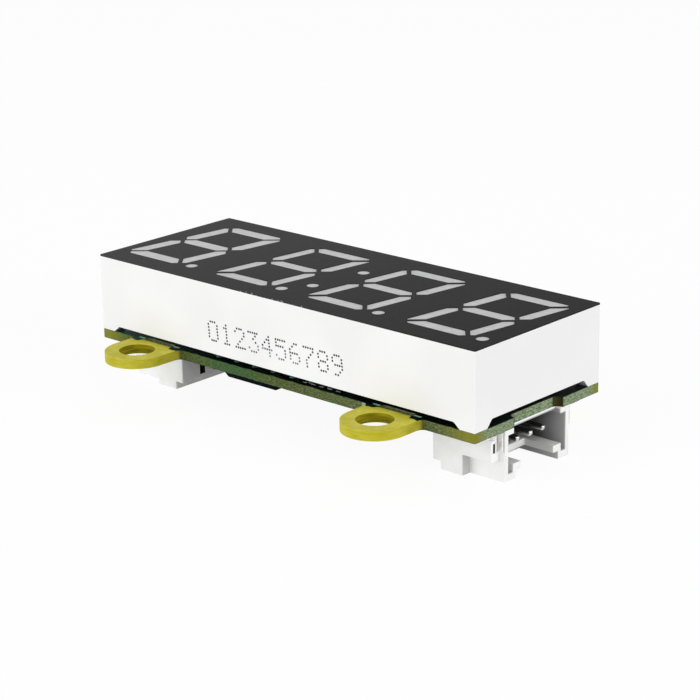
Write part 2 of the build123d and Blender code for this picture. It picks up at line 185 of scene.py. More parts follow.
def newMaterial(name, look, paint=plainPaint):
    # a material of one look: its constants go on the shader's own sockets, its paint feeds others from the
    # object's coordinates, and its grain is a bump
    material = bpy.data.materials.new(name)
    material.use_nodes = True
    tree = material.node_tree
    tree.nodes.clear()
    place = addNode(tree, "TexCoord").outputs["Object"]
    sockets = {"roughness": "Roughness", "metallic": "Metallic", "ior": "IOR",
               "specular": "Specular IOR Level"}
    values = {socket: look[key] for key, socket in sockets.items() if key in look}
    values.update(paint(tree, place, look))
    if "grainMm" in look:
        noise = addNode(tree, "TexNoise", {"Scale": 1 / (look["grainMm"] * mm),
                                           "Detail": look.get("grainDetail", 3.0), "Vector": place})
        values["Normal"] = addNode(tree, "Bump", {"Distance": look["depthMm"] * mm, "Height": noise})
    shader = addNode(tree, "BsdfPrincipled", values)
    addNode(tree, "OutputMaterial", {"Surface": shader})
    return material


# Face film: polyester screen-printed dark grey with a matt ink, a little greyer towards the left, and
# nicked along a stretch of its front edge so that the white under it shows.
filmLook = {
    "roughness": 0.7, "ior": 1.57, "specular": 0.08, "grainMm": 0.12, "depthMm": 0.006, "grainDetail": 4.0,
    "dark": "#1e1e1e", "light": "#282828", "leftDark": "#3a3a3a", "leftLight": "#444444",
    "speckMm": 0.12, "speckDetail": 4.0,
    "nick": "#909090", "nickMm": 0.3, "nickNoise": (0.6, 0.66), "nickReachMm": 0.04, "nickedMm": (-4.6, 3.8),
    "windowWallShade": "#0a0a0a", "wallDropMm": 0.01, "marginMm": 0.3,
}


def filmPaint(tree, place, look):
    x, y, z, along, across = axesOf(tree, place)
    right = clouded(tree, place, look["speckMm"], look["dark"], look["light"], look["speckDetail"])
    left = clouded(tree, place, look["speckMm"], look["leftDark"], look["leftLight"], look["speckDetail"])
    towardsLeft = addNode(tree, "MapRange", {"From Min": filmHigh.x, "From Max": filmLow.x, "Value": x})
    # nicks: where the noise rises high, near the front edge and within the nicked stretch
    noise = addNode(tree, "TexNoise", {"Scale": 1 / (look["nickMm"] * mm), "Detail": 2.0, "Vector": place})
    low, high = look["nickNoise"]
    reach = addNode(tree, "MapRange", {"From Min": low, "From Max": high, "To Min": filmLow.y,
                                       "To Max": filmLow.y + look["nickReachMm"] * mm, "Value": noise})
    nicked = together(tree, (y, "LESS_THAN", reach), *between(x, *metres(look["nickedMm"])))
    # the cut walls of the windows, painted near black as shade: below the film's top and away from its rim
    wall = together(tree, (z, "LESS_THAN", filmHigh.z - look["wallDropMm"] * mm),
                    (along, "LESS_THAN", filmHigh.x - look["marginMm"] * mm),
                    (across, "LESS_THAN", filmHigh.y - look["marginMm"] * mm))
    return {"Base Color": overlaid(tree, right, (towardsLeft, left), (nicked, look["nick"]),
                                   (wall, look["windowWallShade"]))}


# Board: glass cloth and epoxy laminate. A glossy dark green solder mask covers both faces but stops at the
# lugs, which show the yellow resin. The sawn edge is dusty with the ends of the glass, most on the two ends.
boardLook = {
    "ior": 1.55, "specular": 0.12, "bareRoughness": 0.55, "maskRoughness": 0.3,
    "grainMm": 0.3, "depthMm": 0.008, "grainDetail": 5.0,
    # mask
    "maskDark": "#000b08", "maskLight": "#00140f", "maskCloudMm": 2.5, "maskMm": 0.035,
    "maskLitLeft": "#01473a", "litLeftFromMm": -9.0,
    "waveMm": 0.9, "waveNoise": (0.3, 0.7), "neckReachMm": 0.55, "neckWaveMm": 0.2,
    "slotHalfMm": 2.1, "slotBlurMm": 0.15, "slotSetbackMm": 0.7,
    "neckEndMm": (4.2, 4.4), "neckSetbackMm": 0.5,
    "glintTeal": "#b0ebe0", "glintAlongMm": (2.55, 0.42), "glintAcrossMm": (9.18, 0.14),      # middle, half size
    # bare lugs
    "bareDark": "#c6be33", "bareLight": "#d4cd4a", "bareMm": 1.6, "lugFromMm": 0.08,
    "streakDark": "#a39a18", "streakMm": 0.14, "streakStretch": 0.12, "streakNoise": (0.45, 0.75),
    "streakShares": (0.35, 0.8),
    "holeDark": "#786e00", "holeLight": "#9c9204", "holeCloudMm": 0.2, "holeRadiusMm": 2.0,
    "rootShade": "#453c0c", "rootShadeMm": (3.2, 3.65),
    # sawn edges
    "edgeGrainMm": 0.34, "edgeDetail": 6.0, "grainFlat": 3.2,
    "sideDark": "#2c3914", "sideLight": "#606e39",
    "rightDark": "#3c4623", "rightLight": "#747e50", "rightMm": (-2.0, 16.0),
    "greenPatch": "#225730", "patchShare": 0.5, "patchStartMm": (-12.0, -7.0), "patchEndMm": (-0.5, -4.5),
    "scuffDark": "#76866a", "scuffLight": "#b3bda5", "scuffMm": (11.8, 0.45),      # middle, half length
    "slotDark": "#666a3c", "slotLight": "#8f9872", "slotMarginMm": 0.3,
    "dustDark": "#5a6b4c", "dustLight": "#99aa88", "dustFromEndMm": (1.3, 0.95),
    "cornerYellow": "#7c7b20", "cornerAlongMm": 5.0, "cornerAcrossMm": 2.2,
    "notchShadeBrown": "#33320c", "notchCornerMm": 3.45, "notchShadeMm": (0.5, 0.22),
}


def boardPaint(tree, place, look):
    x, y, z, along, across = axesOf(tree, place)
    # distance along the board to the middle of the nearer lug, which its slot and necks are laid out from
    toLugs = [apart(tree, x, lugX) for lugX in lugCentres["xs"]]
    toLug = addNode(tree, "Math", {"operation": "MINIMUM", 0: toLugs[0], 1: toLugs[1]})
    fromNotch = apart(tree, across, look["notchCornerMm"] * mm)
    # shares that rise smoothly from 0 at one place to 1 at another
    rises = {
        "left": (x, look["litLeftFromMm"] * mm, boardLow.x),
        "root": (toLug, *metres(look["rootShadeMm"])),
        "right": (x, *metres(look["rightMm"])),
        "patchStart": (x, *metres(look["patchStartMm"])),
        "patchEnd": (x, *metres(look["patchEndMm"])),
        "cornerAlong": (along, boardHigh.x - look["cornerAlongMm"] * mm, boardHigh.x),
        "cornerAcross": (across, housingHigh.y - look["cornerAcrossMm"] * mm, housingHigh.y),
        "notch": (fromNotch, *metres(look["notchShadeMm"])),
    }
    risen = {}
    for name, (source, start, end) in rises.items():
        risen[name] = addNode(tree, "MapRange", {"interpolation_type": "SMOOTHSTEP", "From Min": start,
                                                 "From Max": end, "Value": source})
    # the mask: within its own thickness of either face, out over the necks, set back at the slots and past
    # the necks, and short of the rings
    onTop = together(tree, (z, "GREATER_THAN", boardTop - look["maskMm"] * mm))
    onBottom = together(tree, (z, "LESS_THAN", boardBottom + look["maskMm"] * mm))
    onFace = addNode(tree, "Math", {"operation": "MAXIMUM", 0: onTop, 1: onBottom})
    offFace = addNode(tree, "Math", {"operation": "SUBTRACT", 0: 1.0, 1: onFace})
    wave = addNode(tree, "TexNoise", {"Scale": 1 / (look["waveMm"] * mm), "Detail": 2.0, "Vector": place})
    low, high = look["waveNoise"]
    neckEdge = housingHigh.y + look["neckReachMm"] * mm
    border = addNode(tree, "MapRange", {"From Min": low, "From Max": high, "Value": wave,
                                        "To Min": neckEdge - look["neckWaveMm"] * mm,
                                        "To Max": neckEdge + look["neckWaveMm"] * mm})
    slotEnds = (look["slotHalfMm"] - look["slotBlurMm"], look["slotHalfMm"] + look["slotBlurMm"])
    for ends, first, last in ((slotEnds, -look["slotSetbackMm"] * mm, 0.0),
                              (look["neckEndMm"], 0.0, -look["neckSetbackMm"] * mm)):
        start, end = metres(ends)
        setback = addNode(tree, "MapRange", {"From Min": start, "From Max": end, "To Min": first,
                                             "To Max": last, "Value": toLug})
        border = addNode(tree, "Math", {"operation": "ADD", 0: border, 1: setback})
    masked = together(tree, onFace, (across, "LESS_THAN", border))
    # beside each slot a painted highlight: a pale teal glint on the mask, where light catches it
    glintSpot = together(tree, (toLug, "COMPARE", *metres(look["glintAlongMm"])),
                   (across, "COMPARE", *metres(look["glintAcrossMm"])))
    # painted light: the mask is painted lighter teal towards the left end, where more light reaches the gap
    # under the housing
    maskTone = clouded(tree, place, look["maskCloudMm"], look["maskDark"], look["maskLight"])
    maskTone = overlaid(tree, maskTone, (risen["left"], look["maskLitLeft"]), (glintSpot, look["glintTeal"]))
    # bare lugs: cloudy yellow, with the cloth's layers as streaks along their rims, the hollow of each root,
    # where the cutter turned, darker as painted shade, and the drilled walls darker
    bareTone = clouded(tree, place, look["bareMm"], look["bareDark"], look["bareLight"])
    stretch = (look["streakStretch"], look["streakStretch"], 1.0)
    layered = addNode(tree, "Mapping", {"Scale": stretch, "Vector": place}).outputs[0]
    streaks = addNode(tree, "TexNoise", {"Scale": 1 / (look["streakMm"] * mm), "Detail": 3.0,
                                         "Vector": layered})
    low, high = look["streakNoise"]
    least, most = look["streakShares"]
    streakShare = addNode(tree, "MapRange", {"From Min": low, "From Max": high, "To Min": least,
                                             "To Max": most, "Value": streaks})
    flat = addNode(tree, "CombineXYZ", {"X": x, "Y": across})
    toHoles = [addNode(tree, "VectorMath", {"operation": "DISTANCE", 0: (lugX, lugCentres["y"], 0), 1: flat})
               for lugX in lugCentres["xs"]]
    toHole = addNode(tree, "Math", {"operation": "MINIMUM", 0: toHoles[0], 1: toHoles[1]})
    holeTone = clouded(tree, layered, look["holeCloudMm"], look["holeDark"], look["holeLight"])
    bareTone = overlaid(tree, bareTone, (together(tree, streakShare, offFace), look["streakDark"]),
                        (together(tree, risen["root"], offFace), look["rootShade"]),
                        (together(tree, (toHole, "LESS_THAN", look["holeRadiusMm"] * mm), offFace), holeTone))
    # sawn edges: olive along the sides, paler to the right, with a greener patch left of the middle, a pale
    # scuff beside the right lug, dust behind each slot and on the ends, yellower corners, and dark brown
    # painted shade in the corners of the notches
    flattened = addNode(tree, "Mapping", {"Scale": (1.0, 1.0, look["grainFlat"]), "Vector": place}).outputs[0]
    tones = {}
    for name in ("side", "right", "scuff", "slot", "dust"):
        dark, light = look[name + "Dark"], look[name + "Light"]
        tones[name] = clouded(tree, flattened, look["edgeGrainMm"], dark, light, look["edgeDetail"])
    patch = together(tree, risen["patchStart"], risen["patchEnd"], look["patchShare"])
    scuffed = together(tree, (x, "COMPARE", *metres(look["scuffMm"])), (y, "LESS_THAN", 0.0))
    behindSlot = together(tree, (toLug, "LESS_THAN", (look["slotHalfMm"] + look["slotMarginMm"]) * mm))
    start, end = (boardHigh.x - edge * mm for edge in look["dustFromEndMm"])
    atEnd = addNode(tree, "MapRange", {"From Min": start, "From Max": end, "Value": along})
    corner = together(tree, risen["cornerAlong"], risen["cornerAcross"])
    onLug = together(tree, (across, "GREATER_THAN", housingHigh.y + look["lugFromMm"] * mm))
    colour = overlaid(tree, tones["side"], (risen["right"], tones["right"]), (patch, look["greenPatch"]),
                      (scuffed, tones["scuff"]), (behindSlot, tones["slot"]), (atEnd, tones["dust"]),
                      (corner, look["cornerYellow"]), (risen["notch"], look["notchShadeBrown"]),
                      (onLug, bareTone), (masked, maskTone))
    gloss = addNode(tree, "MapRange", {"To Min": look["bareRoughness"], "To Max": look["maskRoughness"],
                                       "Value": masked})
    return {"Base Color": colour, "Roughness": gloss}


# Headers: natural nylon 66, moulded with a satin skin. Light reaches the plug cavity only through its mouth,
# so its inside is painted dark grey with depth, as painted shade. Places along a header are measured from its
# mouth, but from its rear for the channels and the slot's rear end.
nylonLook = {
    "roughness": 0.45, "ior": 1.53, "grainMm": 0.1, "depthMm": 0.004,
    "dark": "#f4f4f3", "light": "#fafaf9", "cloudMm": 2.0,
    "mouthShade": "#b6b6b6", "deep": "#4c4c4c", "fadeFromMm": 0.1, "fadeToMm": 3.6,
    "cavityHalfMm": 4.6, "cavityHeightMm": (0.04, 5.0), "cavityEndMm": 6.05,
    "railTopMm": 1.6, "railOuterMm": 3.8, "windowEndMm": 4.75, "railShare": 0.22,
    "undercutTopMm": 0.86, "undercutFromMm": 3.2, "undercutShare": 0.7,
    "slotShade": "#2e2e2e", "slotFrontMm": 0.76, "slotRearMm": 0.4, "slotAcrossMm": (5.4, 5.77),
    "slotHeightMm": (2.9, 3.95),
    "channelShade": "#1c1c1c", "channelDepthMm": (0.05, 1.02), "channelHalfMm": 0.42, "channelLowMm": 1.1,
    "channelFoldsMm": (2.0, 1.0),
    "stepShade": "#c8c8c8", "stepDepthMm": (4.26, 4.17), "stepAcrossMm": (4.9, 5.93), "stepTopMm": 2.05,
}


def nylonPaint(tree, place, look):
    x, y, z, along, across = axesOf(tree, place)
    mouth, rear = headerHigh.x, headerLow.x
    skin = clouded(tree, place, look["cloudMm"], look["dark"], look["light"])
    # painted shade: the cavity darkens with depth
    cavity = together(tree, (across, "LESS_THAN", look["cavityHalfMm"] * mm),
                      *between(z, *metres(look["cavityHeightMm"])),
                      *between(along, mouth - look["cavityEndMm"] * mm, mouth - look["fadeFromMm"] * mm))
    depth = addNode(tree, "MapRange", {"From Min": mouth, "From Max": mouth - look["fadeToMm"] * mm,
                                       "Value": along})
    shade = overlaid(tree, look["mouthShade"], (depth, look["deep"]))
    # the rails stand in the light of the open window, so they fade less
    onRail = together(tree, (z, "LESS_THAN", look["railTopMm"] * mm),
                      (across, "LESS_THAN", look["railOuterMm"] * mm),
                      (along, "GREATER_THAN", mouth - look["windowEndMm"] * mm))
    fade = addNode(tree, "MapRange", {"To Min": 1.0, "To Max": look["railShare"], "Value": onRail})
    # but the hollow under each rail's lip is shaded again
    undercut = together(tree, (z, "LESS_THAN", look["undercutTopMm"] * mm),
                        (across, "GREATER_THAN", look["undercutFromMm"] * mm), look["undercutShare"])
    fade = addNode(tree, "Math", {"operation": "MAXIMUM", 0: fade, 1: undercut})
    colour = overlaid(tree, skin, (together(tree, cavity, fade), shade))
    # folded at 2 mm and then at 1 mm, the distance from the header's middle is the distance from the middle
    # of the nearest channel, as these lie at 1 and 3 mm
    fromChannel = across
    for fold in metres(look["channelFoldsMm"]):
        fromChannel = apart(tree, fromChannel, fold)
    # painted shade: the slot beside each anchor tab and the contacts' channels are painted near black, as
    # they take in no light, and the face of the rear block beside each shroud is painted grey as its shade
    slot = (*between(along, rear + look["slotRearMm"] * mm, mouth - look["slotFrontMm"] * mm),
            *between(across, *metres(look["slotAcrossMm"])),
            *between(z, *metres(look["slotHeightMm"])))
    channel = (*between(along, *(rear + edge * mm for edge in look["channelDepthMm"])),
               (fromChannel, "LESS_THAN", look["channelHalfMm"] * mm),
               (z, "GREATER_THAN", look["channelLowMm"] * mm))
    step = (*between(along, *(mouth - edge * mm for edge in look["stepDepthMm"])),
            *between(across, *metres(look["stepAcrossMm"])),
            (z, "LESS_THAN", look["stepTopMm"] * mm))
    return {"Base Color": overlaid(tree, colour, (together(tree, *slot), look["slotShade"]),
                                   (together(tree, *channel), look["channelShade"]),
                                   (together(tree, *step), look["stepShade"]))}


# Contacts: tin over drawn brass. Their tips flash in the mouth, and their shanks are painted darker inside
# the cavity, as painted shade.
contactLook = {"roughness": 0.24, "metallic": 1.0, "grainMm": 0.08, "depthMm": 0.003,
               "dark": "#c9c8c4", "light": "#e6e5e1", "cloudMm": 0.3, "shank": "#8a8a8a",
               "tipMm": (0.1, 0.35), "cavityMm": 6.0}


def contactPaint(tree, place, look):
    x, y, z, along, across = axesOf(tree, place)
    bright = clouded(tree, place, look["cloudMm"], look["dark"], look["light"])
    behindTip = addNode(tree, "MapRange", {"interpolation_type": "SMOOTHSTEP", "Value": along,
                                           "From Min": tailHigh.x - look["tipMm"][0] * mm,
                                           "From Max": tailHigh.x - look["tipMm"][1] * mm})
    onShank = together(tree, behindTip, (along, "GREATER_THAN", headerHigh.x - look["cavityMm"] * mm))
    return {"Base Color": overlaid(tree, bright, (onShank, look["shank"]))}


# Finishes that are one colour with a slight drift and a fine grain. What a look leaves out is usual.
usualLook = {"cloudMm": 0.4, "grainMm": 0.08, "depthMm": 0.004, "roughness": 0.6}
plainLooks = {
    # reflector-grade white polycarbonate from a satin mould, so a broad soft sheen
    "whiteMouldedPolycarbonate": {"dark": "#eeeeee", "light": "#f3f3f3", "cloudMm": 9.0, "cloudDetail": 1.0,
                                  "grainMm": 0.14, "roughness": 0.42, "ior": 1.58},
    # segments: epoxy with a diffusing filler, light grey when unlit
    "diffusingCastEpoxy": {"dark": "#d6d6d6", "light": "#e0e0e0", "cloudMm": 0.8, "cloudDetail": 4.0,
                           "grainMm": 0.25, "depthMm": 0.006, "roughness": 0.45, "ior": 1.54,
                           "specular": 0.25},
    # tin over drawn brass: bright, with a soft drawn sheen
    "tinPlatedBrass": {"dark": "#dcdbd7", "light": "#ecebe7", "cloudMm": 0.3, "depthMm": 0.003,
                       "roughness": 0.42, "metallic": 1.0},
    # tin over the steel of the chip's leads: a little greyer
    "tinPlatedSteel": {"dark": "#bcbcba", "light": "#d6d6d4", "depthMm": 0.003, "roughness": 0.3,
                       "metallic": 1.0},
    # display pins: steel painted dark as shade, for where they stand in the shaded gap under the housing;
    # their cut ends below the board share it
    "shadedPin": {"dark": "#3a3a38", "light": "#585856", "depthMm": 0.003, "roughness": 0.45,
                  "metallic": 1.0},
    # nylon where the plug rubs it, inside the headers
    "rubbedNylon": {"dark": "#eeeeec", "light": "#f6f6f4", "cloudMm": 1.0, "grainMm": 0.1, "roughness": 0.45,
                    "ior": 1.53},
    # solder that froze with a faintly rippled, bright skin
    "reflowedSolder": {"dark": "#b7b9bb", "light": "#d4d5d6", "cloudMm": 0.25, "grainMm": 0.3,
                       "depthMm": 0.015, "roughness": 0.26, "metallic": 1.0},
    # transfer-moulded epoxy from a spark-eroded mould: matt, black with a green cast
    "mouldedChipEpoxy": {"dark": "#040a07", "light": "#08110d", "cloudMm": 1.5, "grainMm": 0.09,
                         "depthMm": 0.012, "roughness": 0.8, "ior": 1.56, "specular": 0.03},
    # sintered ceramic of the capacitors: tan and matt
    "firedCeramic": {"dark": "#a88c66", "light": "#bfa27a", "cloudMm": 0.3, "grainMm": 0.06, "depthMm": 0.006,
                     "roughness": 0.5, "ior": 1.6},
    # black glass coat over the resistors: smooth and glossy
    "resistorGlaze": {"dark": "#111216", "light": "#1b1c20", "roughness": 0.25, "ior": 1.5},
    # poured epoxy over the light board's back: milky and glossy
    "pouredResin": {"dark": "#bcb6a4", "light": "#cfcabb", "cloudMm": 2.0, "grainMm": 0.5, "depthMm": 0.01,
                    "roughness": 0.25, "ior": 1.54},
    # inner laminate without a mask: dull green-yellow
    "innerLaminate": {"dark": "#7c8745", "light": "#8f9a52", "cloudMm": 1.0, "grainMm": 0.2, "depthMm": 0.008,
                      "roughness": 0.5, "ior": 1.55},
    # polished semiconductor dies: amber
    "polishedDie": {"dark": "#8f6a26", "light": "#b78d3c", "cloudMm": 0.2, "grainMm": 0.06, "depthMm": 0.003,
                    "roughness": 0.3, "ior": 1.8},
    # copper tracks under the mask: the green shows lighter over them
    "maskedCopper": {"dark": "#0b4a33", "light": "#135a40", "cloudMm": 1.2, "grainMm": 0.3, "roughness": 0.25,
                     "ior": 1.55},
    # screen-printed epoxy ink: matt white
    "screenPrintedInk": {"dark": "#d3d3cd", "light": "#e6e6e0", "cloudMm": 0.5, "depthMm": 0.006, "ior": 1.5},
    # a pad under the mask on the board's top: teal, the mask over copper, painted pale as a highlight on it
    "maskedPadGlint": {"dark": "#3d6a5c", "light": "#729e90", "grainMm": 0.2, "roughness": 0.3, "ior": 1.55},
    # a via's hole: a dark disc painted as the shade inside the hole
    "viaHoleShade": {"dark": "#1a1a16", "light": "#2c2b24", "cloudMm": 0.2, "ior": 1.5},
    # ink jet ink: thin, dull black
    "solventInk": {"dark": "#0e0e0e", "light": "#2a2a2a", "cloudMm": 0.8, "ior": 1.5},
    # the same ink, thinner
    "fadedInk": {"dark": "#5a5a5a", "light": "#8c8c8c", "cloudMm": 0.8, "ior": 1.5},
}

finishes = {name: newMaterial(name, {**usualLook, **look}) for name, look in plainLooks.items()}
finishes["printedPolyesterFilm"] = newMaterial("printedPolyesterFilm", filmLook, filmPaint)
finishes["glassEpoxyLaminate"] = newMaterial("glassEpoxyLaminate", boardLook, boardPaint)
finishes["naturalNylon"] = newMaterial("naturalNylon", nylonLook, nylonPaint)
finishes["tinPlatedContact"] = newMaterial("tinPlatedContact", contactLook, contactPaint)

nodesOfFinish = {
    "whiteMouldedPolycarbonate": ["reflector_housing"],
    "printedPolyesterFilm": ["face_film"],
    "diffusingCastEpoxy": ["digit_1_segments", "digit_2_segments", "digit_3_segments", "digit_4_segments",
                           "decimal_points", "colon_dots"],
    "polishedDie": ["light_dies"],
    "innerLaminate": ["light_board"],
    "pouredResin": ["potting_resin"],
    "shadedPin": ["front_display_pins", "rear_display_pins"],
    "reflowedSolder": ["solder_joints", "end_terminals"],
    "glassEpoxyLaminate": ["driver_board"],
    "naturalNylon": ["right_header", "left_header"],
    "tinPlatedContact": ["right_contacts", "left_contacts"],
    "tinPlatedBrass": ["right_anchor_tabs", "left_anchor_tabs"],
    "mouldedChipEpoxy": ["driver_chip"],
    "tinPlatedSteel": ["driver_chip_leads"],
    "firedCeramic": ["capacitor_bodies"],
    "resistorGlaze": ["resistor_bodies"],
}
finishOfNode = {nodeName: finishName for finishName, names in nodesOfFinish.items() for nodeName in names}
for nodeName, finishName in finishOfNode.items():
    nodes[nodeName].data.materials.clear()
    nodes[nodeName].data.materials.append(finishes[finishName])
print("finishes made:", len(finishes))


def select(*targets):
    bpy.ops.object.select_all(action="DESELECT")
    for target in targets:
        target.select_set(True)
    if targets:
        bpy.context.view_layer.objects.active = targets[0]


def finishPiece(piece, name, finishName, smoothAngle=40):
    # the last steps for a new piece: its place goes into its mesh, and it gets its name, finish and body
    select(piece)
    bpy.ops.object.transform_apply(location=True, rotation=True, scale=True)
    bpy.ops.object.shade_smooth_by_angle(angle=math.radians(smoothAngle))
    piece.name = name
    piece.data.materials.clear()
    piece.data.materials.append(finishes[finishName])
    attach(piece, "root")
    return piece


def ownCopy(model):
    # a copy with its own mesh
    copy = model.copy()
    copy.data = model.data.copy()
    bpy.context.scene.collection.objects.link(copy)
    return copy


def copiesAt(model, places):
    # copies of one modelled piece, joined into one
    copies = []
    for place in places:
        copy = ownCopy(model)
        copy.location = place
        copies.append(copy)
    bpy.data.objects.remove(model)
    select(*copies)
    bpy.ops.object.join()
    return bpy.context.view_layer.objects.active


def editAll():
    # opens the active piece for editing, with all of it selected
    bpy.ops.object.mode_set(mode="EDIT")
    bpy.ops.mesh.select_all(action="SELECT")


def bevelled(model, offset, segments):
    # a modelled piece with every edge cut to a small chamfer or round
    editAll()
    bpy.ops.mesh.bevel(offset=offset, segments=segments)
    bpy.ops.object.mode_set(mode="OBJECT")
    return model


chamferShare = 0.3      # of the thickness of a printed dot or a via


def block(size):
    # a plain block round the origin
    select()
    bpy.ops.mesh.primitive_cube_add(size=1, location=(0, 0, 0))
    model = bpy.context.object
    model.scale = size
    bpy.ops.object.transform_apply(scale=True)
    return model


# Eased edges: a copy of a CAD node, its loose triangles merged, with its sharp edges rounded a little. Each
# has the rounding's width in mm, its steps and the piece's slot.
easedNodes = {
    "right_header": (0.09, 2, "header_nylon"),
    "left_header": (0.09, 2, "header_nylon"),
    "driver_chip": (0.08, 2, "chip_epoxy"),
    "capacitor_bodies": (0.05, 2, "capacitor_ceramic"),
    "resistor_bodies": (0.03, 1, "resistor_coating"),
    "end_terminals": (0.05, 2, "solder"),
    "driver_chip_leads": (0.02, 1, "tinned_lead"),
    "right_contacts": (0.05, 2, "tinned_brass"),
    "left_contacts": (0.05, 2, "tinned_brass"),
    "right_anchor_tabs": (0.03, 1, "tinned_brass"),
    "left_anchor_tabs": (0.03, 1, "tinned_brass"),
}


def looseCopy(nodeName):
    # a copy of a CAD node that is free to change, with its loose triangles merged into plain faces
    piece = ownCopy(nodes[nodeName])
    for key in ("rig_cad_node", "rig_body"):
        del piece[key]
    piece.parent = None
    select(piece)
    editAll()
    bpy.ops.mesh.remove_doubles(threshold=0.0005 * mm)
    bpy.ops.mesh.dissolve_limited(angle_limit=math.radians(1))
    bpy.ops.object.mode_set(mode="OBJECT")
    return piece


def pieceName(nodeName):
    words = nodeName.split("_")
    return words[0] + "".join(word.capitalize() for word in words[1:])


def easedCopy(nodeName, widthMm, steps, slotName):
    piece = looseCopy(nodeName)
    bevel = piece.modifiers.new("ease", "BEVEL")
    bevel.width = widthMm * mm
    bevel.segments = steps
    bevel.limit_method = "ANGLE"
    bevel.angle_limit = math.radians(35)
    bpy.ops.object.modifier_apply(modifier=bevel.name)
    finishPiece(piece, pieceName(nodeName), finishOfNode[nodeName])
    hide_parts(nodeName)


for nodeName, ease in easedNodes.items():
    easedCopy(nodeName, *ease)
print("edges eased:", len(easedNodes))


# Lenses: the cast resin swells a little in the film's windows, so its face stands almost level with the film,
# this far below its top.
lensDropMm = {"digit_1_segments": 0.012, "digit_2_segments": 0.065, "digit_3_segments": 0.065,
              "digit_4_segments": 0.065, "decimal_points": 0.04, "colon_dots": 0.04}


def swollenLens(nodeName, dropMm):
    piece = looseCopy(nodeName)
    rise = filmHigh.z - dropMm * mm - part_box(nodeName)[1].z
    select(piece)
    bpy.ops.object.mode_set(mode="EDIT")
    bpy.ops.mesh.select_all(action="DESELECT")
    bpy.ops.mesh.select_mode(type="FACE")
    bpy.ops.object.mode_set(mode="OBJECT")
    for face in piece.data.polygons:      # the faces that look up, level with the film's underside
        face.select = face.normal.z > 0.9 and face.center.z > filmLow.z - 0.02 * mm
    bpy.ops.object.mode_set(mode="EDIT")
    bpy.ops.transform.translate(value=(0, 0, rise))
    bpy.ops.object.mode_set(mode="OBJECT")
    finishPiece(piece, pieceName(nodeName), finishOfNode[nodeName], 30)
    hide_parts(nodeName)


for nodeName, dropMm in lensDropMm.items():
    swollenLens(nodeName, dropMm)
print("lenses swollen:", len(lensDropMm))


# Stop bars: one for each header, joining the lips of its rails across the window in its floor.
stopBar = {"setbackMm": 3.45, "thicknessMm": 0.7, "halfWidthMm": 2.56, "lowMm": 0.85, "highMm": 1.545,
           "cornerMm": 0.07}


def stopBars():
    bar = stopBar
    middleX = headerHigh.x - (bar["setbackMm"] + bar["thicknessMm"] / 2) * mm
    places = [(side * middleX, 0, (bar["lowMm"] + bar["highMm"]) / 2 * mm) for side in (-1, 1)]
    model = block((bar["thicknessMm"] * mm, 2 * bar["halfWidthMm"] * mm, (bar["highMm"] - bar["lowMm"]) * mm))
    bevelled(model, bar["cornerMm"] * mm, 2)
    finishPiece(copiesAt(model, places), "headerStopBars", "rubbedNylon")


stopBars()
print("stop bars made")


# Solder at the display pins: a hollow-sided cone under the board, and a low oval pad on top of it, with one
# pad more than there are pins at the left end of each row.
pinSolder = {"padRadiusMm": 0.85, "steps": 20, "topPadStretch": (0.62, 1.36), "pitchMm": 2.54,
             "cone": ((0.62, 0.1), (0.46, 0.24), (0.37, 0.42), (0.3, 0.6)),      # radius and height, mm
             "topPad": ((0.8, 0.05), (0.62, 0.09), (0.4, 0.1))}


def solderMound(profile, direction):
    # a disc pulled up step by step: each ring is extruded, narrowed and lifted
    select()
    bpy.ops.mesh.primitive_circle_add(vertices=pinSolder["steps"], radius=pinSolder["padRadiusMm"] * mm,
                                      fill_type="NGON", location=(0, 0, 0))
    model = bpy.context.object
    editAll()
    radius, height = pinSolder["padRadiusMm"], 0.0
    for nextRadius, nextHeight in profile:
        lift = (0, 0, direction * (nextHeight - height) * mm)
        bpy.ops.mesh.extrude_region_move(TRANSFORM_OT_translate={"value": lift})
        bpy.ops.transform.resize(value=(nextRadius / radius, nextRadius / radius, 1))
        radius, height = nextRadius, nextHeight
    bpy.ops.mesh.select_all(action="SELECT")
    bpy.ops.mesh.normals_make_consistent(inside=False)
    bpy.ops.object.mode_set(mode="OBJECT")
    return model


def pinSolderPieces():
    padXs = pinXs + [pinXs[0] - pinSolder["pitchMm"] * mm]
    under = [(x, side * pinY, boardBottom) for side in (-1, 1) for x in pinXs]
    over = [(x, side * pinY, boardTop) for side in (-1, 1) for x in padXs]
    cones = copiesAt(solderMound(pinSolder["cone"], -1), under)
    finishPiece(cones, "pinSolderCones", "reflowedSolder", 60)
    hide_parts("solder_joints")
    pad = solderMound(pinSolder["topPad"], 1)
    pad.scale = (*pinSolder["topPadStretch"], 1)
    bpy.ops.object.transform_apply(scale=True)
    # the pads on top take the teal with a painted highlight
    finishPiece(copiesAt(pad, over), "pinPadRings", "maskedPadGlint", 60)


pinSolderPieces()
print("pin solder made")


# Solder under the feet of the surface-mounted parts: one pillow of solder for each kind of foot, inwards
# from the end of its lead, tail, anchor or terminal.
footSolder = {
    "chipLead": {"sizeMm": (1.25, 0.62, 0.16), "inwardsMm": 0.45},
    "contactTail": {"sizeMm": (1.9, 0.9, 0.2), "inwardsMm": 0.75},
    "anchorFoot": {"sizeMm": (1.0, 1.7, 0.2), "inwardsMm": 0.55},
    "terminal": {"sizeMm": (0.75, 0.9, 0.24), "inwardsMm": -0.1},
}
pillowTaper = (0.72, 0.6, 1)
pillowCorner = 0.28      # of its height


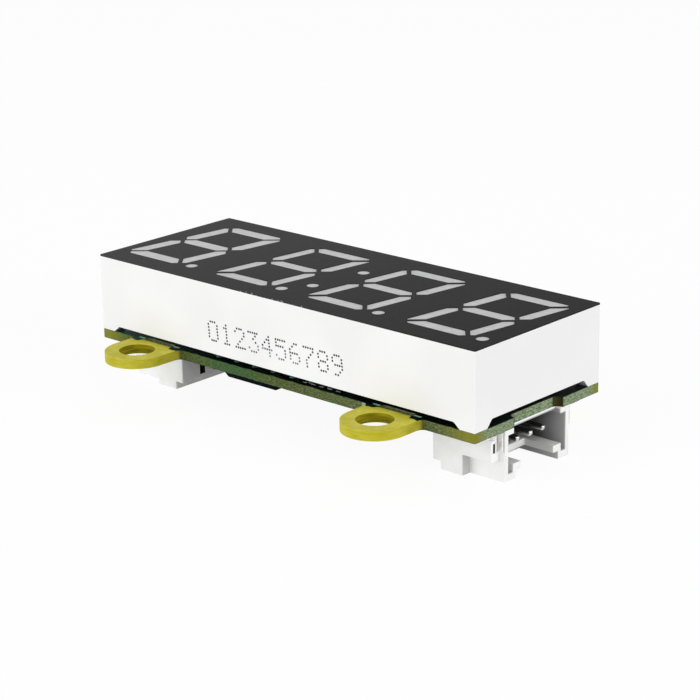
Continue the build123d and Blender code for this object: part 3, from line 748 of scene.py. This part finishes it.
def solderPillow(sizeMm):
    # a block whose lower face is drawn in, so that its sides slope up to the pad as wetted solder does
    model = block(metres(sizeMm))
    height = sizeMm[2] * mm
    editAll()
    bpy.ops.transform.translate(value=(0, 0, -height / 2))
    bpy.ops.mesh.select_all(action="DESELECT")
    bpy.ops.object.mode_set(mode="OBJECT")
    for face in model.data.polygons:      # the lower face
        face.select = face.normal.z < -0.9
    bpy.ops.object.mode_set(mode="EDIT")
    bpy.ops.mesh.select_mode(type="FACE")
    bpy.ops.transform.resize(value=pillowTaper)
    bpy.ops.object.mode_set(mode="OBJECT")
    return bevelled(model, pillowCorner * height, 2)


def footSolderPieces():
    inwards = {kind: foot["inwardsMm"] * mm for kind, foot in footSolder.items()}
    anchorX = (anchorLow.x + anchorHigh.x) / 2
    leadXs = (leadLow.x + inwards["chipLead"], leadHigh.x - inwards["chipLead"])
    terminalXs = (terminalLow.x + inwards["terminal"], terminalHigh.x - inwards["terminal"])
    spots = {
        "chipLead": [(x, y) for y in leadYs for x in leadXs],
        "contactTail": [(side * (tailLow.x + inwards["contactTail"]), y) for side in (-1, 1) for y in tailYs],
        "anchorFoot": [(side * anchorX, end * (anchorHigh.y - inwards["anchorFoot"]))
                       for side in (-1, 1) for end in (-1, 1)],
        "terminal": [(x, y) for y in smallPartYs for x in terminalXs],
    }
    for kind, foot in footSolder.items():
        joined = copiesAt(solderPillow(foot["sizeMm"]), [(x, y, boardBottom) for x, y in spots[kind]])
        finishPiece(joined, kind + "Solder", "reflowedSolder", 60)


footSolderPieces()
print("foot solder made")


# Tracks and printed lines on the board: a bent line of vertices becomes a flat raised strip.
def strip(points, level, widthMm, thicknessMm):
    select()
    bpy.ops.mesh.primitive_plane_add(size=0.1 * mm, location=(*points[0], 0))
    line = bpy.context.object
    bpy.ops.object.transform_apply(location=True)
    bpy.ops.object.mode_set(mode="EDIT")
    bpy.ops.mesh.select_mode(type="VERT")
    bpy.ops.mesh.select_all(action="SELECT")
    bpy.ops.mesh.merge(type="CENTER")
    for start, end in zip(points, points[1:]):
        move = (end[0] - start[0], end[1] - start[1], 0)
        bpy.ops.mesh.extrude_region_move(TRANSFORM_OT_translate={"value": move})
    bpy.ops.object.mode_set(mode="OBJECT")
    bpy.ops.object.convert(target="CURVE")
    line = bpy.context.object
    line.data.bevel_depth = widthMm / 2 * mm
    line.data.bevel_resolution = 1
    line.data.use_fill_caps = True
    bpy.ops.object.convert(target="MESH")
    line = bpy.context.object
    line.scale = (1, 1, thicknessMm / widthMm * 2)
    line.location = (0, 0, level)
    bpy.ops.object.transform_apply(location=True, scale=True)
    return line


def strips(name, routes, level, look, finishName):
    # routes in mm, all drawn as strips of one width and joined
    lines = [strip([(x * mm, y * mm) for x, y in route], level, look["widthMm"], look["thicknessMm"])
             for route in routes]
    select(*lines)
    bpy.ops.object.join()
    finishPiece(bpy.context.view_layer.objects.active, name, finishName, 30)


trackLook = {
    "widthMm": 0.28, "thicknessMm": 0.018, "turnMm": 0.8, "lapMm": 0.3, "leadRunMm": 0.7,
    "turnXsMm": (12.6, 11.8), "turnStepMm": 0.9, "viaXMm": 8.6,
    "stubsMm": (1.0, 1.7), "stubTurnMm": 1.2,
    "busMm": ((-24.2, 8.6), (-10.4, 8.6), (-9.7, 8.9), (24.2, 8.9)),
}


def stubEnds(pinXMm, side, stubMm):
    # a stub from a display pin straight inwards, and then aslant to its via
    pinYMm, turn = pinY / mm, trackLook["stubTurnMm"]
    return [(pinXMm, side * (pinYMm - stubMm)), (pinXMm - turn, side * (pinYMm - stubMm - turn))]


def trackRoutes():
    # from each lead of the chip's right side to a display pin, and from the left side to the left header
    look = trackLook
    routes = []
    turn = look["turnMm"]
    leadRight, leadLeft = leadHigh.x / mm, leadLow.x / mm
    pinsMm = [x / mm for x in pinXs]
    for number, y in enumerate(leadYs):
        y = y / mm
        outward = number if number < 4 else 7 - number
        side = -1 if number < 4 else 1
        pinX = pinsMm[2 + outward]
        routes.append([(leadRight - look["lapMm"], y), (pinX - turn, y), (pinX, y + side * turn),
                       (pinX, side * pinY / mm)])
    for number, tailY in enumerate(tailYs):
        tailY = tailY / mm
        leadY = leadYs[2 + number] / mm
        bend = leadLeft - look["leadRunMm"]
        turnX, turnedX = (x - look["turnStepMm"] * number for x in look["turnXsMm"])
        routes.append([(-tailLow.x / mm, tailY), (bend - abs(tailY - leadY), tailY), (bend, leadY),
                       (leadLeft + look["lapMm"], leadY)])
        routes.append([(tailLow.x / mm, tailY), (turnX, tailY), (turnedX, tailY - turn),
                       (look["viaXMm"], tailY - turn)])
    for side in (-1, 1):
        for pinX, stub in zip(pinsMm, look["stubsMm"]):
            routes.append([(pinX, side * pinY / mm), *stubEnds(pinX, side, stub)])
        routes.append([(x, side * y) for x, y in look["busMm"]])
    return routes


inkLook = {
    "widthMm": 0.16, "thicknessMm": 0.012, "chipInsetMm": 0.2, "chipGapMm": 0.35, "chipTickMm": 0.25,
    "firstPinMarkMm": (0.5, 1.1), "headerGapMm": 0.35, "headerYsMm": (5.0, 6.3), "headerReachMm": 23.8,
    "partHalfMm": 0.35, "partOutMm": 0.62,
    "dashXsMm": (3.0, 4.1, 5.2, 6.3, 7.4), "dashLengthMm": 0.55, "dashYMm": -8.75,
}


def inkRoutes():
    # outlines of the chip, the headers and the small parts
    look = inkLook
    routes = []
    left, right = chipLow.x / mm + look["chipInsetMm"], chipHigh.x / mm - look["chipInsetMm"]
    end = chipHigh.y / mm + look["chipGapMm"]
    tick = end - look["chipTickMm"]
    inner = headerLow.x / mm - look["headerGapMm"]
    nearY, farY = look["headerYsMm"]
    middle = (terminalLow.x + terminalHigh.x) / 2 / mm
    for side in (-1, 1):
        routes.append([(left, side * tick), (left, side * end), (right, side * end), (right, side * tick)])
        for row in (1, -1):
            routes.append([(side * inner, row * nearY), (side * inner, row * farY),
                           (side * look["headerReachMm"], row * farY)])
    routes.append([(left - markMm, end) for markMm in look["firstPinMarkMm"]])
    for y in smallPartYs:
        for side in (-1, 1):
            lineY = y / mm + side * look["partOutMm"]
            routes.append([(middle - look["partHalfMm"], lineY), (middle + look["partHalfMm"], lineY)])
    return routes


strips("maskedTracks", trackRoutes(), boardBottom, trackLook, "maskedCopper")
strips("undersidePrint", inkRoutes(), boardBottom, inkLook, "screenPrintedInk")
topDashes = [[(x, inkLook["dashYMm"]), (x + inkLook["dashLengthMm"], inkLook["dashYMm"])]
             for x in inkLook["dashXsMm"]]
strips("topPrint", topDashes, boardTop, inkLook, "screenPrintedInk")

# Vias: a plated ring with a dark disc painted as the shade of its hole, at the ends of the tracks that go
# through to the other face.
viaLook = {
    "viaRings": {"radiusMm": 0.3, "standMm": 0.012, "finish": "maskedCopper"},
    "viaHoles": {"radiusMm": 0.16, "standMm": 0.016, "finish": "viaHoleShade"},
}


def vias():
    spots = [(trackLook["viaXMm"], y / mm - trackLook["turnMm"]) for y in tailYs]
    spots += [stubEnds(x / mm, side, stub)[-1] for side in (-1, 1)
              for x, stub in zip(pinXs, trackLook["stubsMm"])]
    places = [(x * mm, y * mm, boardBottom) for x, y in spots]
    for name, via in viaLook.items():
        stand = via["standMm"] * mm
        select()
        bpy.ops.mesh.primitive_cylinder_add(vertices=16, radius=via["radiusMm"] * mm, depth=2 * stand,
                                            location=(0, 0, 0))
        model = bevelled(bpy.context.object, chamferShare * stand, 1)
        finishPiece(copiesAt(model, places), name, via["finish"], 30)


vias()
print("tracks, printed lines and vias made")


# Dot-matrix row of plain numerals on the front wall, in ink jet dots.
numeralRow = {
    "text": "0123456789",
    "centreX": -0.05 * mm,
    "lowestZ": 2.02 * mm,          # above the board's top
    "characterPitch": 1.87 * mm,
    "columnPitch": 0.3 * mm,
    "rowPitch": 0.32 * mm,
    "dotRadius": 0.115 * mm,
    "inkThickness": 0.012 * mm,
    "lean": 0.085,                 # each dot's shift to the left for its height, as from a moving belt
    "jitter": 0.02 * mm,
    "fadedBelowRow": 4,            # the lower rows of the middle characters are short of ink
    "fadedCharacters": range(3, 8),
    "shapes": {
        "0": ".XXX. X...X X...X X...X X...X X...X .XXX.",
        "1": "..X.. .XX.. ..X.. ..X.. ..X.. ..X.. .XXX.",
        "2": ".XXX. X...X ....X ...X. ..X.. .X... XXXXX",
        "3": "XXXXX ...X. ..X.. ...X. ....X X...X .XXX.",
        "4": "...X. ..XX. .X.X. X..X. XXXXX ...X. ...X.",
        "5": "XXXXX X.... XXXX. ....X ....X X...X .XXX.",
        "6": "..XX. .X... X.... XXXX. X...X X...X .XXX.",
        "7": "XXXXX ....X ...X. ..X.. .X... .X... .X...",
        "8": ".XXX. X...X X...X .XXX. X...X X...X .XXX.",
        "9": ".XXX. X...X X...X .XXXX ....X ...X. .XX..",
    },
}


def numeralDots():
    row = numeralRow
    jitter = random.Random(7)
    select()
    bpy.ops.mesh.primitive_cylinder_add(vertices=12, radius=row["dotRadius"], depth=row["inkThickness"],
                                        location=(0, 0, 0), rotation=(math.pi / 2, 0, 0))
    model = bpy.context.object
    bpy.ops.object.transform_apply(rotation=True)
    bevelled(model, row["inkThickness"] * chamferShare, 1)
    sound, faded = [], []
    width = (len(row["text"]) - 1) * row["characterPitch"] + 4 * row["columnPitch"]
    for number, character in enumerate(row["text"]):
        left = row["centreX"] - width / 2 + number * row["characterPitch"]
        for rowNumber, line in enumerate(row["shapes"][character].split()):
            short = rowNumber >= row["fadedBelowRow"] and number in row["fadedCharacters"]
            rise = (6 - rowNumber) * row["rowPitch"]
            for column, mark in enumerate(line):
                if mark != "X":
                    continue
                shift = jitter.uniform(-row["jitter"], row["jitter"])
                x = left + column * row["columnPitch"] - rise * row["lean"] + shift
                spot = (x, housingLow.y - row["inkThickness"] / 2, boardTop + row["lowestZ"] + rise)
                (faded if short else sound).append(spot)
    spare = ownCopy(model)
    finishPiece(copiesAt(model, sound), "frontNumerals", "solventInk", 30)
    finishPiece(copiesAt(spare, faded), "frontNumeralsFaded", "fadedInk", 30)


numeralDots()
print("numerals printed")


# Floor, light and camera. The floor and the sky show white to the camera and in reflections, and to the
# light they are a pale grey floor and a soft even sky.
stageLook = {"roughness": 1.0, "specular": 0.0, "floorTone": "#e6e6e6", "floorSeen": "#525252",
             "floorSize": 6.0, "lift": 0.93, "skyStrength": 0.45}


def seenDirectly(tree):
    # 1 for rays from the camera and for mirror and glass rays, 0 for the light that falls on the object
    rays = addNode(tree, "LightPath").outputs
    mirror = addNode(tree, "Math", {"operation": "MAXIMUM", 0: rays["Is Glossy Ray"],
                                    1: rays["Is Transmission Ray"]})
    return addNode(tree, "Math", {"operation": "MAXIMUM", 0: rays["Is Camera Ray"], 1: mirror})


def floorPaint(tree, place, look):
    seen = seenDirectly(tree)
    lift = addNode(tree, "Math", {"operation": "MULTIPLY", 0: seen, 1: look["lift"]})
    return {"Base Color": overlaid(tree, look["floorTone"], (seen, look["floorSeen"])),
            "Emission Color": (1, 1, 1, 1), "Emission Strength": lift}


def paleFloor():
    select()
    bpy.ops.mesh.primitive_plane_add(size=stageLook["floorSize"], location=(0, 0, 0))
    floor = bpy.context.object
    floor.name = "paleFloor"
    floor.data.materials.append(newMaterial("palePaperFloor", stageLook, floorPaint))


def whiteSky():
    world = bpy.data.worlds.new("studioSky")
    bpy.context.scene.world = world
    world.use_nodes = True
    tree = world.node_tree
    tree.nodes.clear()
    strength = addNode(tree, "MapRange", {"To Min": stageLook["skyStrength"], "To Max": 1.0,
                                          "Value": seenDirectly(tree)})
    background = addNode(tree, "Background", {"Color": (1, 1, 1, 1), "Strength": strength})
    addNode(tree, "OutputWorld", {"Surface": background})


softboxes = {
    "frontSoftbox": {"place": (-0.15, -0.55, 0.35), "size": (0.5, 0.35), "power": 0.85},
    "lowSoftbox": {"place": (-0.2, -0.57, 0.065), "size": (0.6, 0.11), "power": 1.62},
    "rightSoftbox": {"place": (0.6, 0.05, 0.15), "size": (0.4, 0.26), "power": 1.9},
}


def addSoftbox(name, box):
    lampData = bpy.data.lights.new(name, "AREA")
    lampData.shape = "RECTANGLE"
    lampData.size, lampData.size_y = box["size"]
    lampData.energy = box["power"]
    lamp = bpy.data.objects.new(name, lampData)
    bpy.context.scene.collection.objects.link(lamp)
    lamp.location = box["place"]
    lamp.rotation_mode = "QUATERNION"
    lamp.rotation_quaternion = Vector(box["place"]).to_track_quat("Z", "Y")


# fitted to the photo's corners: angles in degrees, lengths in metres
shot = {"azimuth": 42.48, "elevation": 18.133, "roll": -0.899, "distance": 0.2288, "shiftRight": 0.000911,
        "shiftUp": 0.00037, "focalPixels": 2268.0, "imagePixels": 700, "sensor": 36.0, "clip": (0.01, 20)}


def photoCamera():
    azimuth, elevation, roll = (math.radians(shot[angle]) for angle in ("azimuth", "elevation", "roll"))
    back = Vector((math.sin(azimuth) * math.cos(elevation), -math.cos(azimuth) * math.cos(elevation),
                   math.sin(elevation)))
    level = (-back).cross(Vector((0, 0, 1))).normalized()
    upright = level.cross(-back)
    right = math.cos(roll) * level + math.sin(roll) * upright
    up = math.cos(roll) * upright - math.sin(roll) * level
    centre = Vector((0, 0, boardTop))
    place = centre + right * shot["shiftRight"] + up * shot["shiftUp"] + back * shot["distance"]
    cameraData = bpy.data.cameras.new("photoCamera")
    cameraData.sensor_width = shot["sensor"]
    cameraData.lens = shot["focalPixels"] * shot["sensor"] / shot["imagePixels"]
    cameraData.clip_start, cameraData.clip_end = shot["clip"]
    camera = bpy.data.objects.new("photoCamera", cameraData)
    bpy.context.scene.collection.objects.link(camera)
    turn = Matrix((right, up, back)).transposed()
    camera.matrix_world = Matrix.Translation(place) @ turn.to_4x4()
    bpy.context.scene.camera = camera


paleFloor()
whiteSky()
for name, box in softboxes.items():
    addSoftbox(name, box)
photoCamera()
bpy.context.scene.view_settings.view_transform = "Standard"
print("stage, lamps and camera set")
